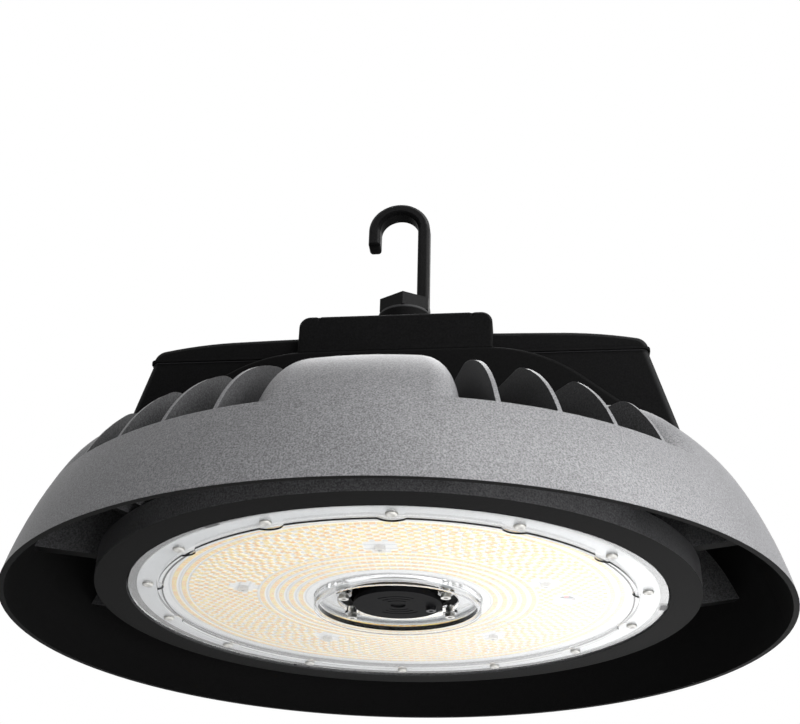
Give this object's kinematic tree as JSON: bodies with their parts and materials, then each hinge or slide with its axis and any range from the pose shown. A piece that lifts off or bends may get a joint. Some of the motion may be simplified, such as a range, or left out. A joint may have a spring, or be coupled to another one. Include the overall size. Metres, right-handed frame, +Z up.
{
  "type": "high bay light",
  "caption": "Round hanging industrial LED light: finned, lobed cast bell, flat lens underneath, driver box on an arch with a hub and hook on top.",
  "frame": {"origin": "centre of the bell's rim plane, the lowest plane of the light", "axes": "+Z up along the hook's stud, X along the driver box, -Y towards the front lobe"},
  "size_m": [0.42, 0.42, 0.2809],
  "materials": {
    "cast_housing": "fine textured powder coat",
    "box_paint": "fine textured powder coat",
    "clear_lens": "clear polycarbonate",
    "seal_rubber": "matte",
    "screw_steel": "zinc plated",
    "screw_black": "black oxide",
    "board_white": "white solder mask",
    "pad_grey": "soft thermal pad",
    "black_plastic": "satin moulded",
    "driver_case": "satin",
    "terminal_white": "satin moulded",
    "brass": "satin",
    "hook_black": "satin black",
    "lead_sleeve": "silicone sleeve"
  },
  "bodies": {
    "root": {"heat_sink_housing": "cast_housing", "lens_cover": "clear_lens", "lens_gasket": "seal_rubber", "lens_screws": "screw_steel", "collar_gasket": "seal_rubber", "collar_screws": "screw_steel", "led_board": "board_white", "thermal_pad": "pad_grey", "board_screws": "screw_steel", "sensor_well": "black_plastic", "sensor_socket": "black_plastic", "sensor_plug_cover": "black_plastic", "plug_cover_screw": "screw_steel", "driver_tray": "box_paint", "driver_lid": "box_paint", "lid_gasket": "seal_rubber", "lid_screws": "screw_steel", "led_driver": "driver_case", "driver_screws": "screw_steel", "terminal_block": "terminal_white", "ground_screw": "brass", "tray_screws": "screw_steel", "saddle_cap": "box_paint", "cap_screws": "screw_black", "hook": "hook_black", "hook_washer": "seal_rubber", "hook_set_screw": "screw_black", "gland_body": "black_plastic", "gland_nut": "black_plastic", "gland_seal": "seal_rubber", "wire_grommet": "seal_rubber", "led_leads": "lead_sleeve"}
  },
  "joints": []
}
